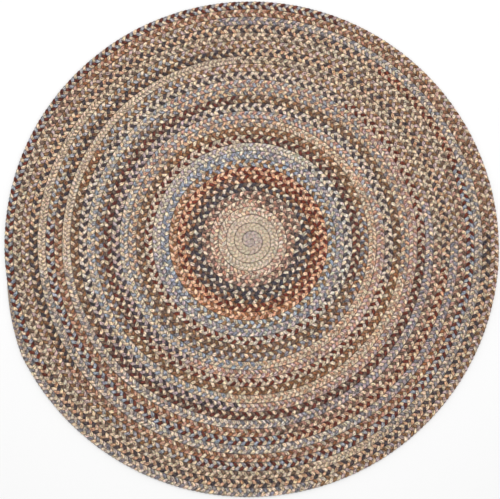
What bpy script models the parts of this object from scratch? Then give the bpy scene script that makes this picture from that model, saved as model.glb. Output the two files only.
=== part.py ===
"""Round rug: one long flat plait of wool, wound into a spiral and laced row to row.

The plait is never cut, so the rug is one solid. It is flat on the floor side. On the top side each
turn of the plait stands up as a rib with round shoulders, and a groove parts it from the next turn.
The plait grows out of a point at the centre and runs clockwise, seen from above. At its outer end it
thins out and lies against the turn inside it.

Units are metres. The origin is on the floor under the spiral's centre, and +Z is up.
"""

import math

import bmesh
import bpy

# ---- driving dimensions ----
PLAIT_WIDTH = 0.0277  # one row of the plait, which is also how far the spiral grows in a turn
THICKNESS = 0.0100  # from the floor to the top of a row
GROOVE_DEPTH = 0.0032  # how far the groove between two rows lies below their tops
SHOULDER = 0.0064  # across the row, from a groove to the row's flat top
EDGE_HEIGHT = 0.0050  # where the rim of the rug is widest
EDGE_TUCK = 0.0030  # how far the rim draws in from there to the floor
TURNS = 30.94  # from the point at the centre to the tip of the tail
START_ANGLE = math.radians(192.4)  # of the point at the centre, clockwise from +X
TAIL_LENGTH = 0.25  # the last stretch of plait, which thins out
SPOKES = 48  # stations in one turn

# ---- worked out from them ----
LAST_STATION = round(TURNS * SPOKES)
OUTER_RADIUS = PLAIT_WIDTH * (TURNS - 1)
TAIL_STATIONS = TAIL_LENGTH / (math.tau * OUTER_RADIUS) * SPOKES
GROOVE_HEIGHT = THICKNESS - GROOVE_DEPTH

# ---- finish ----
WOOL_COLOUR = (0.35, 0.26, 0.20, 1.0)  # the mean of the browns, creams and slates in the plait
WOOL_ROUGHNESS = 0.95


def clear_scene():
    for obj in list(bpy.data.objects):
        bpy.data.objects.remove(obj)


def blend(low, high, share):
    return low + (high - low) * share


def spiral_point(station, radius, height):
    """A point at this height on the spoke of this station, counted along the spiral."""
    clockwise = START_ANGLE + math.tau * station / SPOKES
    return (radius * math.cos(clockwise), -radius * math.sin(clockwise), height)


def plait_fullness(station):
    """The plait's width there as a share of its full width: it falls to 0 at both of its ends."""
    from_centre = station / SPOKES
    from_tip = (LAST_STATION - station) / TAIL_STATIONS
    return min(1.0, from_centre, from_tip)


def inner_radius(station):
    """Where the row starts: at the centre for the first turn, then against the turn before."""
    return PLAIT_WIDTH * max(0.0, station / SPOKES - 1.0)


def row_section(station):
    """The row's groove and its two shoulders, from the inside out."""
    inner = inner_radius(station)
    share = plait_fullness(station)
    near_tip = LAST_STATION - station < TAIL_STATIONS
    lowest = EDGE_HEIGHT if near_tip else GROOVE_HEIGHT
    groove_height = blend(lowest, GROOVE_HEIGHT, share)
    top_height = blend(lowest, THICKNESS, share)
    groove = spiral_point(station, inner, groove_height)
    inner_shoulder = spiral_point(station, inner + SHOULDER * share, top_height)
    outer_shoulder = spiral_point(station, inner + (PLAIT_WIDTH - SHOULDER) * share, top_height)
    return groove, inner_shoulder, outer_shoulder


def rim_section(station):
    """The rug's widest point at this station of the last turn, and the foot below it."""
    radius = inner_radius(station) + PLAIT_WIDTH * plait_fullness(station)
    widest = spiral_point(station, radius, EDGE_HEIGHT)
    foot = spiral_point(station, radius - EDGE_TUCK, 0.0)
    return widest, foot


def add_strip(mesh, first_line, second_line):
    """Faces between two lines of vertices that run side by side, the first one inside the second."""
    for near, far in zip(zip(first_line, second_line), zip(first_line[1:], second_line[1:])):
        mesh.faces.new((near[0], far[0], far[1], near[1]))


def build_plait():
    mesh = bmesh.new()
    sections = [row_section(station) for station in range(LAST_STATION + 1)]
    grooves, inner_shoulders, outer_shoulders = (
        [mesh.verts.new(point) for point in line] for line in zip(*sections)
    )

    last_turn = range(LAST_STATION - SPOKES + 1, LAST_STATION + 1)
    rim = [rim_section(station) for station in last_turn]
    widest, feet = ([mesh.verts.new(point) for point in line] for line in zip(*rim))

    # A row ends where the row outside it starts, one turn later, and the last turn ends at the rim.
    row_ends = grooves[SPOKES:] + widest
    add_strip(mesh, grooves, inner_shoulders)
    add_strip(mesh, inner_shoulders, outer_shoulders)
    add_strip(mesh, outer_shoulders, row_ends)
    add_strip(mesh, [widest[-1]] + widest, [feet[-1]] + feet)
    mesh.faces.new(feet)

    bmesh.ops.remove_doubles(mesh, verts=mesh.verts, dist=1e-6)
    bmesh.ops.recalc_face_normals(mesh, faces=mesh.faces)
    return mesh


def wool_material():
    material = bpy.data.materials.new("wool")
    material.use_nodes = True
    shader = material.node_tree.nodes["Principled BSDF"]
    shader.inputs["Base Color"].default_value = WOOL_COLOUR
    shader.inputs["Roughness"].default_value = WOOL_ROUGHNESS
    shader.inputs["Metallic"].default_value = 0.0
    return material


def add_object(name, mesh, material):
    data = bpy.data.meshes.new(name)
    mesh.to_mesh(data)
    mesh.free()
    data.shade_smooth()
    data.set_sharp_from_angle(angle=math.radians(40))
    data.materials.append(material)
    obj = bpy.data.objects.new(name, data)
    bpy.context.scene.collection.objects.link(obj)
    return obj


clear_scene()
add_object("wound_plait", build_plait(), wool_material())
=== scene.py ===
"""Looks of the round braided rug: three strands of wool, plaited flat and wound into a spiral.

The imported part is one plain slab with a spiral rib. Here the three strands are modelled one by one, as
soft tubes of wool that cross over and under each other all the way from the centre to the tail.
Two of the strands are self-striping yarn, which changes its colour after every two metres of plait,
and the third is cream from end to end.

Units are metres. The rug lies on the floor at Z = 0, with the spiral's centre at the origin.
"""

import math

import bpy
import numpy as np
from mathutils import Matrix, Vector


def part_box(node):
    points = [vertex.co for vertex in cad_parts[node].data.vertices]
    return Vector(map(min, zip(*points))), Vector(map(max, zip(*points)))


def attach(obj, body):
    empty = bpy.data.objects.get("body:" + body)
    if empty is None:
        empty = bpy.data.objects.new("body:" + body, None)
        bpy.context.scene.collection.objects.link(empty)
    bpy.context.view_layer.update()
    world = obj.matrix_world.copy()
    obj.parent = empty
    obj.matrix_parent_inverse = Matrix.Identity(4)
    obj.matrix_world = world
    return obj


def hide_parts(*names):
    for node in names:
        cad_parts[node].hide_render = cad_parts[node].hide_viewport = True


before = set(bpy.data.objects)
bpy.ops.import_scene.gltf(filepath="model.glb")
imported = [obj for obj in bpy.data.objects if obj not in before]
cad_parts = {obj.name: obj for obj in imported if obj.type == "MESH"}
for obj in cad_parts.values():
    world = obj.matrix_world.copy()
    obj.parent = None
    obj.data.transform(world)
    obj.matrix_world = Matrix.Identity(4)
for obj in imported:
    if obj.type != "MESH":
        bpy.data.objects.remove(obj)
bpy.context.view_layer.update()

# ---- the wound plait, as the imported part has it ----
TURNS = 30.94  # from the point at the centre to the tip of the tail
START_ANGLE = math.radians(192.4)  # of the point at the centre, clockwise from +X
TAIL_LENGTH = 0.25  # the last stretch of plait, which thins out
TURN_AT_RIGHT = 31 - START_ANGLE / math.tau  # where the last turn crosses +X, the rug's rightmost point
LOWEST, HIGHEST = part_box("wound_plait")
PLAIT_WIDTH = HIGHEST[0] / TURN_AT_RIGHT  # one row, which is also how far the spiral grows in a turn
THICKNESS = HIGHEST[2] - LOWEST[2]
TAIL_TURNS = TAIL_LENGTH / (math.tau * PLAIT_WIDTH * (TURNS - 1))
STATIONS = 100000  # points at which the plait's line is measured

# ---- one strand of the plait ----
PERIOD = 0.0425  # plait length in which a strand swings out, in and back
SWING = 0.0100  # how far its middle swings to each side of the row's middle line
DWELL = 0.02  # how much longer it stays near the row's edge than an even swing does
RISE = 0.0020  # how far its middle rises over its neighbours, and dips below them
PLATEAU = 0.16  # how much longer it stays up, so that a lobe's ends are blunt
CROSSING_SIZE = (0.0108, 0.0042)  # width and height where it passes the row's middle line
TURN_SIZE = (0.0092, 0.0063)  # rounder where it turns back at the row's edge
LOBE_SIZE = (0.0122, 0.0054)  # plump where it lies on top, halfway between the two
SQUARENESS = 2.8  # of its section: 2 is an ellipse, and more is fuller at the corners
SWING_SPREAD = 0.02  # how unevenly the plait is pulled tight: the share by which its swing varies
WIDTH_SPREAD = 0.04  # and the share by which its width varies
SLIMMEST = 0.25  # the plait's fullness below which its lobes get no shorter
LOWEST_PHASE = 0.34  # the part of a period at which it passes lowest under its neighbours
SIDES = 8  # faces round a strand
STEPS = 10  # faces along it in one period
CENTRE_STEPS = 24  # and in the tight turns at the centre
CENTRE_PERIODS = 20  # how far those reach
LENGTHS = 4  # pieces that the rest of each strand is made in, to stay under the limit of triangles

# ---- the yarn, as sRGB tones ----
YARNS = {  # each yarn's tone where its stretch starts and where it ends
    "slate": ((78, 71, 76), (90, 79, 80)),
    "maroon": ((114, 58, 44), (106, 60, 52)),
    "brown": ((144, 106, 76), (150, 116, 86)),
    "dusk blue": ((142, 140, 148), (146, 141, 142)),
    "oatmeal": ((216, 195, 170), (214, 197, 176)),
    "rose": ((198, 156, 138), (186, 142, 120)),
    "taupe": ((124, 104, 92), (118, 94, 80)),
    "rust": ((150, 102, 72), (130, 100, 78)),
    "tan": ((212, 172, 140), (204, 164, 136)),
    "pale blue": ((154, 162, 174), (178, 176, 180)),
    "mauve": ((196, 170, 166), (188, 170, 169)),
    "off-white": ((226, 213, 199), (206, 184, 164)),
    "cream": ((228, 206, 178), (228, 206, 178)),
}
STRANDS = {
    # the yarns of a strand in turn, the plait length of each, and its skeins, tied on one after another:
    # where a skein starts along the plait, its first yarn, and how long that first stretch is
    "striped": {
        "yarns": ("slate", "maroon", "brown", "dusk blue", "oatmeal", "rose"),
        "stretch": 2.081,
        "skeins": ((0.0, "oatmeal", 1.01), (12.18, "slate", 0.52), (42.0, "dusk blue", 1.8)),
    },
    "marled": {
        "yarns": ("taupe", "rust", "tan", "pale blue", "mauve", "off-white"),
        "stretch": 2.015,
        "skeins": ((0.0, "mauve", 0.25), (0.25, "off-white", 1.73), (40.4, "pale blue", 0.4)),
    },
    "cream": {"yarns": ("cream",), "stretch": 100.0, "skeins": ((0.0, "cream", 100.0),)},
}
CENTRE_TONE = (208, 188, 164)  # the even beige that all three strands have at the centre
CENTRE_TURNS = (2.6, 4.6)  # where that beige begins to give way to the yarns' own tones, and where it has
OWN_TONE_SHARE = 0.2  # how much of the yarns' own tones shows through that beige before
START_TONE = (191, 173, 165)  # the greyish mauve that they have before it
START_TURNS = (1.4, 1.9)  # where that mauve begins to give way to the beige, and where it has
CENTRE_SHARE = 0.35  # how uneven the wool is at the centre, its streaks and its lobes' varied tones, and how deep the painted shade in its lobes' grooves is there
RING_TINTS = (  # the tint of all the wool at some turns: cool round the slate ring, warm round the rust one, and darker towards the rim
    (4.0, (0.99, 0.98, 0.98)),
    (5.0, (0.93, 0.89, 0.87)),
    (6.0, (0.93, 0.89, 0.92)),
    (6.7, (0.88, 0.94, 1.01)),
    (7.6, (0.88, 0.94, 1.01)),
    (8.4, (1.05, 0.85, 0.78)),
    (9.8, (1.06, 0.85, 0.77)),
    (10.4, (0.91, 0.95, 0.99)),
    (12.4, (0.91, 0.95, 0.99)),
    (13.0, (0.95, 0.92, 0.91)),
    (31.0, (0.85, 0.81, 0.78)),
)
LIGHT_SPREAD = 0.09  # how much the wool varies in tone from one lobe of a strand to the next
WARMTH_SPREAD = 0.04  # and how much in warmth
SEED = 7

# ---- the wool ----
PLIES = 8  # yarns laid side by side in a strand
TWIST = 0.13  # length of strand in which they wind round it once
PLY_SHADE = 0.75  # the painted shade between two plies: their tone there as a share of the yarn's tone
PLY_TOP = 0.6  # the height of a ply above which it has its full tone, free of that painted shade, as a share of its ridge
HEATHER = 0.55  # how far the fibres' own tints stray from the yarn's tone
STREAKS = (0.32, 1.70)  # the darkest and the brightest fibres, as shares of the yarn's tone
STREAK_NOISE = (0.36, 0.64)  # the noise at which a fibre is darkest, and at which it is brightest
FIBRE_SCALE = 1.3  # of that noise
STREAK_LENGTHS = 110.0  # how closely the streaks follow each other along the strand
HEATHER_LENGTHS = 120.0  # and the tints
STREAK_HEIGHT = 0.6  # of the fibres against the ridges of the plies
GROOVE_SHADE_TONE = (50, 42, 48)  # painted shade: what every yarn darkens to in a groove
GROOVE_HEIGHTS = (0.0012, 0.0040)  # from the plait's middle height: where the painted groove shade is deepest, and where it ends
LOBE_GROOVE = (0.96, 0.40)  # painted shade between the lobes, at the row's middle line and at its edge
ROW_GROOVE = (0.30, 0.64)  # light that the painted shade leaves between the rows, at the centre and farther out
ROW_GROOVE_PLACES = (0.80, 1.04)  # from the row's middle line to its edge: where that shade begins, and ends
RIM_SHARE = 0.7  # the rim's outer side counts as no nearer to its edge than this

# ---- the studio ----
FLOOR_SIZE = 40.0
FLOOR_TONE = (0.93, 0.93, 0.93, 1.0)
ROOM_LIGHT = 0.66
LAMP_SIZE = 3.0
LAMP_POWER = 105
LAMP_PLACE = (0.0, 1.0, 4.5)
LAMP_TILT = math.radians(-12)
LENS = 79.2  # focal length in millimetres
CAMERA_PLACE = (-0.0566, -0.4393, 3.7000)
CAMERA_TURN = (math.radians(6.335), math.radians(-0.850), math.radians(-0.050))


def plait_fullness(turn):
    """The plait's width there as a share of its full width: it falls to 0 at both of its ends."""
    return np.clip(np.minimum(turn, (TURNS - turn) / TAIL_TURNS), 0.0, 1.0)


def middle_radius(turn):
    """The radius of the row's middle line."""
    inner = PLAIT_WIDTH * np.maximum(0.0, turn - 1.0)
    return inner + PLAIT_WIDTH * plait_fullness(turn) / 2


def spiral_points(turn, radius, height):
    """Points at these turns of the spiral, by their radius and their height."""
    clockwise = START_ANGLE + math.tau * turn
    return np.stack([radius * np.cos(clockwise), -radius * np.sin(clockwise), height], axis=-1)


def step_lengths(points):
    """The distance from each point to the next."""
    return np.linalg.norm(np.diff(points, axis=0), axis=1)


def running_total(steps):
    """The sum of the steps up to each point, from 0 at the first."""
    return np.concatenate([[0.0], np.cumsum(steps)])


def plait_line():
    """Stations along the plait: their turns, and the plait lengths and the periods up to there."""
    turn = np.linspace(0.0, TURNS, STATIONS)
    steps = step_lengths(spiral_points(turn, middle_radius(turn), np.zeros_like(turn)))
    fullness = np.maximum(plait_fullness(turn), SLIMMEST)
    periods = steps / (PERIOD * (fullness[1:] + fullness[:-1]) / 2)
    return {"turn": turn, "length": running_total(steps), "period": running_total(periods)}


LINE = plait_line()


def unit(vectors):
    """The vectors, each brought to a length of 1."""
    return vectors / np.linalg.norm(vectors, axis=-1, keepdims=True)


def wander(phase, random, spread):
    """A value that strays round 0 at random, from one crossing of the strands to the next."""
    crossing = phase / math.pi
    first = math.floor(crossing[0])
    count = math.ceil(crossing[-1]) - first + 2
    return np.interp(crossing, np.arange(count) + first, random.normal(0.0, spread, count))


def strand_middle(turn, phase, random):
    """The strand's middle line, which swings out and in, and rises over its neighbours and dips."""
    fullness = plait_fullness(turn)
    pull = fullness * (1 + wander(phase, random, SWING_SPREAD))
    swing = SWING * (np.sin(phase) + DWELL * np.sin(3 * phase)) / (1 - DWELL) * pull
    rise = RISE * (np.sin(2 * phase) + PLATEAU * np.sin(6 * phase)) / (1 - PLATEAU) * fullness
    return spiral_points(turn, middle_radius(turn) + swing, THICKNESS / 2 + rise)


def section_sizes(phase):
    """The width and the height of the strand's section, where the plait has its full width."""
    turning = (1 - np.cos(2 * phase)) / 2  # from 0 at the row's middle line to 1 at its edge
    on_top = np.sin(2 * phase) ** 2  # 1 halfway between the two
    return [
        crossing + (turned - crossing) * turning + (lobe - (crossing + turned) / 2) * on_top
        for crossing, turned, lobe in zip(CROSSING_SIZE, TURN_SIZE, LOBE_SIZE)
    ]


def section_outline():
    """The corners of a section, from its underside round: how far sideways and how far up, -1 to 1."""
    angle = math.tau * (np.arange(SIDES) / SIDES - 0.25)
    return [
        np.sign(share) * np.abs(share) ** (2 / SQUARENESS)
        for share in (np.cos(angle).round(6), np.sin(angle).round(6))
    ]


def strand_rings(middle, width, height):
    """The ring of points round a strand at each station of its middle line."""
    along = unit(np.gradient(middle, axis=0))
    across = unit(np.cross(along, (0.0, 0.0, 1.0)))
    upward = np.cross(across, along)
    sideways, up = section_outline()
    return (
        middle[:, None]
        + across[:, None] * (sideways * width[:, None] / 2)[..., None]
        + upward[:, None] * (up * height[:, None] / 2)[..., None]
    )


def linear(tone):
    """An sRGB tone from 0 to 255 as the linear colour that shaders take."""
    share = np.asarray(tone) / 255
    return np.where(share <= 0.04045, share / 12.92, ((share + 0.055) / 1.055) ** 2.4)


def yarn_tones(strand, length):
    """The tones of the strand's own yarns at each of these plait lengths."""
    yarns, stretch = strand["yarns"], strand["stretch"]
    starts = np.array([linear(YARNS[yarn][0]) for yarn in yarns])
    ends = np.array([linear(YARNS[yarn][1]) for yarn in yarns])
    colours = np.zeros((len(length), 3))
    for skein_start, first_yarn, first_stretch in strand["skeins"]:
        used = length - skein_start + stretch - first_stretch + stretch * yarns.index(first_yarn)
        run = np.floor(used / stretch).astype(int)
        share = (used / stretch - run)[:, None]
        run = run % len(yarns)
        here = length >= skein_start
        colours[here] = (starts[run] * (1 - share) + ends[run] * share)[here]
    return colours


def yarn_colours(strand, turn, length):
    """The strand's colour at each station, with the centre's even tones and the tints of the rings."""
    past_start = np.interp(turn, START_TURNS, (0.0, 1.0))[:, None]
    past_centre = np.interp(turn, CENTRE_TURNS, (OWN_TONE_SHARE, 1.0))[:, None]
    centre_tone = linear(START_TONE) * (1 - past_start) + linear(CENTRE_TONE) * past_start
    colours = centre_tone * (1 - past_centre) + yarn_tones(strand, length) * past_centre
    turns, tints = zip(*RING_TINTS)
    return colours * np.stack([np.interp(turn, turns, channel) for channel in zip(*tints)], axis=-1)


def lobe_shades(phase, random):
    """How much lighter or darker the wool is, and how much warmer, from one crossing to the next."""
    light = 1 + wander(phase, random, LIGHT_SPREAD)
    warm = wander(phase, random, WARMTH_SPREAD)
    return light[:, None] * np.stack([1 + warm, np.ones_like(warm), 1 - warm], axis=-1)


def wool_colours(strand, turn, length, phase, random):
    """The wool's colour at each station, with how uneven the wool is there and how deep its painted groove
    shade is as its alpha.
    """
    # the alpha also sets how deep the painted shade in the grooves is, and falls to 0 where the plait thins
    # to its ends
    unevenness_and_shade_depth = (np.interp(turn, CENTRE_TURNS, (CENTRE_SHARE, 1.0)) * plait_fullness(turn))[:, None]
    colours = yarn_colours(strand, turn, length) * lobe_shades(phase, random) ** unevenness_and_shade_depth
    return np.concatenate([colours, unevenness_and_shade_depth], axis=-1)


def share_to_edge(turn, rings):
    """How far each point lies from the row's middle line (0) to the next row (1).

    The rim's outer side has no next row, so it gets no painted row shade: it stays at RIM_SHARE or below.
    """
    radius = np.hypot(rings[..., 0], rings[..., 1])
    share = (radius - middle_radius(turn)[:, None]) / (PLAIT_WIDTH / 2)
    at_rim = (turn[:, None] > TURNS - 1) & (share > RIM_SHARE)
    return np.where(at_rim, RIM_SHARE, np.abs(share))


def strand_mesh(name, rings):
    """A tube through the rings, closed at both ends."""
    count = len(rings)
    corner = np.arange(count * SIDES).reshape(count, SIDES)
    next_corner = np.roll(corner, -1, axis=1)
    sides = np.stack([corner[:-1], next_corner[:-1], next_corner[1:], corner[1:]], axis=-1)
    caps = [corner[0][::-1].tolist(), corner[-1].tolist()]
    mesh = bpy.data.meshes.new(name)
    mesh.from_pydata(rings.reshape(-1, 3).tolist(), [], sides.reshape(-1, 4).tolist() + caps)
    mesh.shade_smooth()
    return mesh


def add_strand_map(mesh, along):
    """The UV map along_strand: U in metres along the strand, and V as a share of the way round it."""
    share = np.arange(SIDES + 1) / SIDES
    u = np.stack([along[:-1], along[:-1], along[1:], along[1:]], axis=-1)
    v = np.stack([share[:-1], share[1:], share[1:], share[:-1]], axis=-1)
    sides = np.stack(np.broadcast_arrays(u[:, None], v[None]), axis=-1).reshape(-1, 2)
    places = np.zeros((len(mesh.loops), 2))  # the caps, which nobody sees, keep 0
    places[: len(sides)] = sides
    mesh.uv_layers.new(name="along_strand").uv.foreach_set("vector", places.reshape(-1))


def add_attribute(mesh, name, kind, field, values):
    """A value at each point of the mesh, for the material to read."""
    mesh.attributes.new(name, kind, "POINT").data.foreach_set(field, values.reshape(-1))


def add_object(name, data):
    """A new object in the scene, at the origin."""
    made = bpy.data.objects.new(name, data)
    bpy.context.scene.collection.objects.link(made)
    return made


def strand_piece(name, number, strand, periods, material, random):
    """One length of a strand, with its colours and its place in the row for the material to read."""
    along_plait = periods + number / len(STRANDS)
    turn = np.interp(along_plait, LINE["period"], LINE["turn"])
    length = np.interp(along_plait, LINE["period"], LINE["length"])
    phase = math.tau * periods
    middle = strand_middle(turn, phase, random)
    width, height = (size * plait_fullness(turn) for size in section_sizes(phase))
    rings = strand_rings(middle, width * (1 + wander(phase, random, WIDTH_SPREAD)), height)
    mesh = strand_mesh(name, rings)
    add_strand_map(mesh, running_total(step_lengths(middle)))
    colours = wool_colours(strand, turn, length, phase, random)
    add_attribute(mesh, "yarn", "FLOAT_COLOR", "color", colours.repeat(SIDES, axis=0))
    add_attribute(mesh, "to_edge", "FLOAT", "value", share_to_edge(turn, rings))
    mesh.materials.append(material)
    piece = add_object(name, mesh)
    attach(piece, "root")
    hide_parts("wound_plait")


def build_strands(material):
    """Every strand from the centre to the tail, cut where it lies lowest, so no cut shows from above."""
    random = np.random.default_rng(SEED)
    for number, (name, strand) in enumerate(STRANDS.items()):
        behind = number / len(STRANDS) + LOWEST_PHASE
        first = math.ceil(-behind)
        last = math.floor(LINE["period"][-1] - behind)
        cuts = [first, *np.linspace(CENTRE_PERIODS, last, LENGTHS + 1).round().astype(int)]
        for i, (start, end) in enumerate(zip(cuts, cuts[1:])):
            steps = CENTRE_STEPS if i == 0 else STEPS
            periods = np.arange((end - start) * steps + 1) / steps + start + LOWEST_PHASE
            strand_piece(f"{name}_strand_{i}", number, strand, periods, material, random)


def add_node(tree, kind, inputs=(), **settings):
    """A new node with its settings made, and each of its inputs linked or set."""
    node = tree.nodes.new(kind)
    for setting, value in settings.items():
        setattr(node, setting, value)
    for socket, value in dict(inputs).items():
        if isinstance(value, bpy.types.NodeSocket):
            tree.links.new(value, node.inputs[socket])
        else:
            node.inputs[socket].default_value = value
    return node


def math_node(tree, operation, first, second=0.0):
    """The result of one operation on numbers or sockets."""
    return add_node(tree, "ShaderNodeMath", {0: first, 1: second}, operation=operation).outputs[0]


def map_range(tree, value, old, new):
    """The value carried over from the old range to the new one."""
    node = add_node(
        tree,
        "ShaderNodeMapRange",
        {"Value": value, "From Min": old[0], "From Max": old[1], "To Min": new[0], "To Max": new[1]},
    )
    return node.outputs["Result"]


def new_group(name, inputs, outputs):
    """An empty shader node group, its input node and its output node."""
    group = bpy.data.node_groups.new(name, "ShaderNodeTree")
    for direction, sockets in (("INPUT", inputs), ("OUTPUT", outputs)):
        for socket, kind in sockets.items():
            group.interface.new_socket(socket, in_out=direction, socket_type=kind)
    return group, group.nodes.new("NodeGroupInput"), group.nodes.new("NodeGroupOutput")


def twisted_yarn_group():
    """Plies that wind round the strand: their ridges, the painted shade between them, and the streaks of
    darker and brighter fibre.
    """
    group, given, result = new_group(
        "twisted yarn",
        {"Color": "NodeSocketColor", "Unevenness And Shade Depth": "NodeSocketFloat"},
        {"Color": "NodeSocketColor", "Height": "NodeSocketFloat"},
    )
    place = add_node(group, "ShaderNodeUVMap", uv_map="along_strand")
    split = add_node(group, "ShaderNodeSeparateXYZ", {0: place.outputs["UV"]})
    along, around = split.outputs["X"], split.outputs["Y"]
    twist = math_node(group, "DIVIDE", along, TWIST)
    turned = math_node(group, "MULTIPLY", math_node(group, "ADD", around, twist), math.tau)
    ply_wave = math_node(group, "SINE", math_node(group, "MULTIPLY", turned, PLIES / 2))
    ridge = math_node(group, "ABSOLUTE", ply_wave)
    side_on = math_node(group, "COSINE", turned)
    end_on = math_node(group, "SINE", turned)

    def fibre(lengths, detail):
        """Noise drawn out along the plies, and without a seam round the strand."""
        place = add_node(
            group,
            "ShaderNodeCombineXYZ",
            {"X": math_node(group, "MULTIPLY", along, lengths), "Y": side_on, "Z": end_on},
        )
        return add_node(
            group,
            "ShaderNodeTexNoise",
            {"Vector": place.outputs[0], "Scale": FIBRE_SCALE, "Detail": detail},
        )

    heather = add_node(
        group,
        "ShaderNodeVectorMath",
        {
            0: fibre(HEATHER_LENGTHS, detail=1.0).outputs["Color"],
            1: (HEATHER,) * 3,
            2: (1 - HEATHER / 2,) * 3,
        },
        operation="MULTIPLY_ADD",
    )
    tinted = add_node(
        group,
        "ShaderNodeVectorMath",
        {0: given.outputs["Color"], 1: heather.outputs[0]},
        operation="MULTIPLY",
    )
    streak = fibre(STREAK_LENGTHS, detail=4.0).outputs["Fac"]
    streak_range = [
        map_range(group, given.outputs["Unevenness And Shade Depth"], (0.0, 1.0), (1.0, shade)) for shade in STREAKS
    ]
    streak_shade = map_range(group, streak, STREAK_NOISE, streak_range)
    # painted shade in the creases between the plies
    ply_shade = map_range(group, ridge, (0.0, PLY_TOP), (PLY_SHADE, 1.0))
    shaded = add_node(
        group,
        "ShaderNodeVectorMath",
        {0: tinted.outputs[0], "Scale": math_node(group, "MULTIPLY", ply_shade, streak_shade)},
        operation="SCALE",
    )
    group.links.new(shaded.outputs[0], result.inputs["Color"])
    height = math_node(group, "ADD", ridge, math_node(group, "MULTIPLY", streak, STREAK_HEIGHT))
    group.links.new(height, result.inputs["Height"])
    return group


def groove_shade_group():
    """Painted shade between the lobes of the plait and between its rows, on both faces of the rug alike."""
    group, given, result = new_group(
        "groove shade",
        {"Color": "NodeSocketColor", "Unevenness And Shade Depth": "NodeSocketFloat", "To Edge": "NodeSocketFloat"},
        {"Color": "NodeSocketColor"},
    )
    unevenness_and_shade_depth, to_edge = given.outputs["Unevenness And Shade Depth"], given.outputs["To Edge"]
    place = add_node(group, "ShaderNodeTexCoord")
    split = add_node(group, "ShaderNodeSeparateXYZ", {0: place.outputs["Object"]})
    over_middle = math_node(group, "SUBTRACT", split.outputs["Z"], THICKNESS / 2)
    from_middle = math_node(group, "ABSOLUTE", over_middle)
    lowness = map_range(group, from_middle, GROOVE_HEIGHTS, (1.0, 0.0))
    deepest = map_range(group, to_edge, (0.0, 1.0), LOBE_GROOVE)
    lobe_shade = math_node(group, "MULTIPLY", unevenness_and_shade_depth, deepest)
    lobe_light = math_node(group, "SUBTRACT", 1.0, math_node(group, "MULTIPLY", lowness, lobe_shade))
    darkest = map_range(group, unevenness_and_shade_depth, (CENTRE_SHARE, 1.0), ROW_GROOVE)
    row_light = map_range(group, to_edge, ROW_GROOVE_PLACES, (1.0, darkest))
    # the yarn's colour mixed towards one dark tone: painted shade in the grooves
    shaded = add_node(
        group,
        "ShaderNodeMix",
        {
            "Factor": math_node(group, "MULTIPLY", lobe_light, row_light),
            "A": (*linear(GROOVE_SHADE_TONE), 1.0),
            "B": given.outputs["Color"],
        },
        data_type="RGBA",
    )
    group.links.new(shaded.outputs["Result"], result.inputs["Color"])
    return group


def wool_material():
    """The wool of all three strands, which takes each yarn's colour from its mesh."""
    material = bpy.data.materials.new("plaited wool")
    material.use_nodes = True
    tree = material.node_tree
    tone = add_node(tree, "ShaderNodeAttribute", attribute_name="yarn")
    to_edge = add_node(tree, "ShaderNodeAttribute", attribute_name="to_edge")
    yarn = add_node(
        tree,
        "ShaderNodeGroup",
        {"Color": tone.outputs["Color"], "Unevenness And Shade Depth": tone.outputs["Alpha"]},
        node_tree=twisted_yarn_group(),
    )
    groove = add_node(
        tree,
        "ShaderNodeGroup",
        {
            "Color": yarn.outputs["Color"],
            "Unevenness And Shade Depth": tone.outputs["Alpha"],
            "To Edge": to_edge.outputs["Fac"],
        },
        node_tree=groove_shade_group(),
    )
    bump = add_node(
        tree, "ShaderNodeBump", {"Strength": 0.6, "Distance": 0.0006, "Height": yarn.outputs["Height"]}
    )
    shader = tree.nodes["Principled BSDF"]
    shader.inputs["Roughness"].default_value = 0.9
    shader.inputs["Specular IOR Level"].default_value = 0.2
    shader.inputs["Sheen Weight"].default_value = 0.15
    tree.links.new(groove.outputs["Color"], shader.inputs["Base Color"])
    tree.links.new(bump.outputs["Normal"], shader.inputs["Normal"])
    return material


def add_floor():
    """A plain pale floor for the rug to lie on."""
    bpy.ops.mesh.primitive_plane_add(size=FLOOR_SIZE)
    floor = bpy.context.object
    floor.name = "floor"
    material = bpy.data.materials.new("pale floor")
    material.use_nodes = True
    shader = material.node_tree.nodes["Principled BSDF"]
    shader.inputs["Base Color"].default_value = FLOOR_TONE
    shader.inputs["Roughness"].default_value = 0.9
    floor.data.materials.append(material)


def add_light():
    """An even white room, and one large lamp overhead for the soft shade in the grooves."""
    world = bpy.data.worlds.new("studio")
    world.use_nodes = True
    background = world.node_tree.nodes["Background"]
    background.inputs["Color"].default_value = (1.0, 1.0, 1.0, 1.0)
    background.inputs["Strength"].default_value = ROOM_LIGHT
    bpy.context.scene.world = world
    data = bpy.data.lights.new("overhead", "AREA")
    data.shape = "DISK"
    data.size = LAMP_SIZE
    data.energy = LAMP_POWER
    lamp = add_object("overhead", data)
    lamp.location = LAMP_PLACE
    lamp.rotation_euler = (LAMP_TILT, 0.0, 0.0)


def add_camera():
    """The camera, almost straight above the rug, as it was for the photo."""
    data = bpy.data.cameras.new("camera")
    data.lens = LENS
    data.sensor_width = 36.0
    camera = add_object("camera", data)
    camera.location = CAMERA_PLACE
    camera.rotation_euler = CAMERA_TURN
    bpy.context.scene.camera = camera


def main():
    """Build the strands and set up the studio round them."""
    bpy.context.scene.view_settings.view_transform = "Standard"
    build_strands(wool_material())
    add_floor()
    add_light()
    add_camera()


main()
